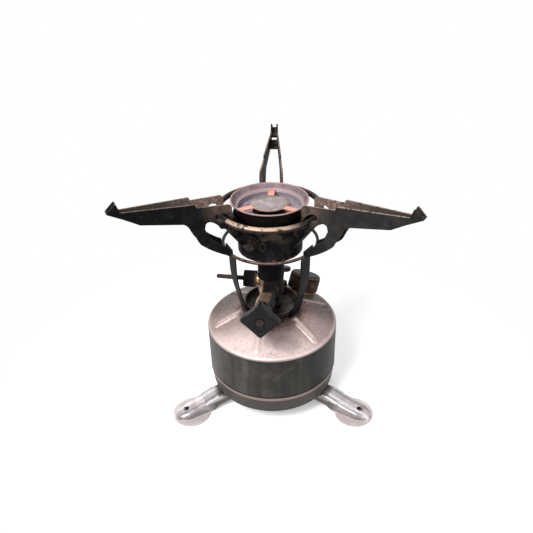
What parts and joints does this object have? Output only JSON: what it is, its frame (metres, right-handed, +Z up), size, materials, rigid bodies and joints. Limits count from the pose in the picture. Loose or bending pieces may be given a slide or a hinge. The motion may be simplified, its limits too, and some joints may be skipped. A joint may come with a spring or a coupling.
{
  "type": "pressure stove",
  "caption": "Compact liquid-fuel pressure stove: round silver-grey tank on swing-out legs, brass valve, sooty burner bowl and folding pot supports hung on a ring",
  "frame": {"origin": "where the tank's axis meets the surface that the feet stand on, which is also the centre of the circle through the holes of the feet", "axes": "+Z up along the tank's axis, +Y from the centre to the back leg, control knob towards -Y"},
  "size_m": [0.2059, 0.1845, 0.2018],
  "materials": {
    "tank_steel": "dull, worn, soot-stained",
    "leg_steel": "bright, scratched",
    "black_steel": "blackened, rust on the edges",
    "ring_steel": "heat-worn, patchy",
    "sooty_steel": "sooty, rough",
    "bowl_steel": "heat-tinted brown, lighter rim",
    "cap_steel": "heat-tinted, worn",
    "cup_steel": "sooty, brown-stained",
    "valve_brass": "dirty, darkened",
    "cap_brass": "tarnished, worn bright at the edges",
    "inner_brass": "clean",
    "knob_black": "rough, worn",
    "screw_steel": "rusty brown",
    "gasket_rubber": "matte",
    "packing": "graphited cord",
    "pump_leather": "oiled"
  },
  "bodies": {
    "stove": {"burner_bowl": "bowl_steel", "burner_cap": "cap_steel", "burner_housing": "sooty_steel", "burner_spud": "inner_brass", "check_valve": "inner_brass", "cleaner_nut": "valve_brass", "cleaner_packing": "packing", "filler_neck": "inner_brass", "flame_plate": "bowl_steel", "fuel_filter": "inner_brass", "gland_nut": "valve_brass", "housing_screw": "screw_steel", "housing_washer": "screw_steel", "jet": "inner_brass", "leg_pivots": "leg_steel", "lower_ring": "ring_steel", "mixing_tube": "sooty_steel", "pickup_tube": "inner_brass", "preheat_cup": "cup_steel", "pump_barrel": "inner_brass", "pump_end_cap": "cap_brass", "strap_back": "black_steel", "strap_left": "black_steel", "strap_right": "black_steel", "tank_base_shell": "tank_steel", "tank_top_shell": "tank_steel", "upper_ring": "ring_steel", "valve_body": "valve_brass", "valve_neck": "valve_brass", "valve_packing": "packing"},
    "filler_lift": {"filler_gasket": "gasket_rubber", "safety_valve": "inner_brass", "safety_spring": "screw_steel"},
    "filler_cap": {"filler_cap": "cap_brass"},
    "pump_plunger": {"pump_rod": "inner_brass", "pump_knob": "cap_brass", "pump_leather": "pump_leather"},
    "valve_spindle": {"valve_stem": "inner_brass"},
    "control_knob": {"control_knob": "knob_black", "knob_screw": "screw_steel"},
    "cleaner_shaft": {"cleaner_shaft": "screw_steel"},
    "cleaning_needle": {"cleaning_needle": "screw_steel"},
    "leg_left": {"leg_left": "leg_steel"},
    "pot_support_left": {"pot_support_left": "black_steel"},
    "leg_right": {"leg_right": "leg_steel"},
    "pot_support_right": {"pot_support_right": "black_steel"},
    "leg_back": {"leg_back": "leg_steel"},
    "pot_support_back": {"pot_support_back": "black_steel"}
  },
  "joints": [
    {"name": "leg_left_swing", "type": "hinge", "parent": "stove", "child": "leg_left", "pos_m": [-0.03724, -0.0215, 0.012], "axis": [0, 0, -1], "range_deg": [0, 150]},
    {"name": "pot_support_left_fold", "type": "hinge", "parent": "stove", "child": "pot_support_left", "pos_m": [-0.03845, -0.01925, 0.1743], "axis": [-0.4478, 0.8942, 0], "range_deg": [0, 90]},
    {"name": "leg_right_swing", "type": "hinge", "parent": "stove", "child": "leg_right", "pos_m": [0.03724, -0.0215, 0.012], "axis": [0, 0, -1], "range_deg": [0, 150]},
    {"name": "pot_support_right_fold", "type": "hinge", "parent": "stove", "child": "pot_support_right", "pos_m": [0.0359, -0.02367, 0.1743], "axis": [-0.5505, -0.8348, 0], "range_deg": [0, 90]},
    {"name": "leg_back_swing", "type": "hinge", "parent": "stove", "child": "leg_back", "pos_m": [0, 0.043, 0.012], "axis": [0, 0, -1], "range_deg": [0, 150]},
    {"name": "pot_support_back_fold", "type": "hinge", "parent": "stove", "child": "pot_support_back", "pos_m": [0.00105, 0.04299, 0.1743], "axis": [0.9997, -0.0244, 0], "range_deg": [0, 90]},
    {"name": "filler_cap_lift", "type": "slide", "parent": "stove", "child": "filler_lift", "axis": [0.258, 0.3186, 0.9121], "range_m": [0, 0.0045]},
    {"name": "filler_cap_turn", "type": "hinge", "parent": "filler_lift", "child": "filler_cap", "pos_m": [0.0258, 0.03186, 0.07649], "axis": [0.258, 0.3186, 0.9121], "range_deg": [0, 1080]},
    {"name": "pump_stroke", "type": "slide", "parent": "stove", "child": "pump_plunger", "axis": [0.057, 0.4059, 0.9121], "range_m": [0, 0.032]},
    {"name": "valve_spindle_travel", "type": "slide", "parent": "stove", "child": "valve_spindle", "axis": [-0.1478, -0.989, 0], "range_m": [0, 0.0012]},
    {"name": "control_knob_turn", "type": "hinge", "parent": "valve_spindle", "child": "control_knob", "pos_m": [0, 0, 0.1055], "axis": [-0.1478, -0.989, 0], "range_deg": [0, 540]},
    {"name": "cleaner_shaft_turn", "type": "hinge", "parent": "stove", "child": "cleaner_shaft", "pos_m": [0, 0, 0.109], "axis": [-0.989, 0.1478, 0], "range_deg": [0, 90]},
    {"name": "cleaning_needle_lift", "type": "slide", "parent": "stove", "child": "cleaning_needle", "axis": [0, 0, 1], "range_m": [0, 0.002]}
  ],
  "couplings": [
    {"joint": "filler_cap_turn", "follows": "filler_cap_lift", "rad_per_m": 4188.8},
    {"joint": "control_knob_turn", "follows": "valve_spindle_travel", "rad_per_m": 7854},
    {"joint": "cleaner_shaft_turn", "follows": "cleaning_needle_lift", "rad_per_m": 785.4}
  ]
}
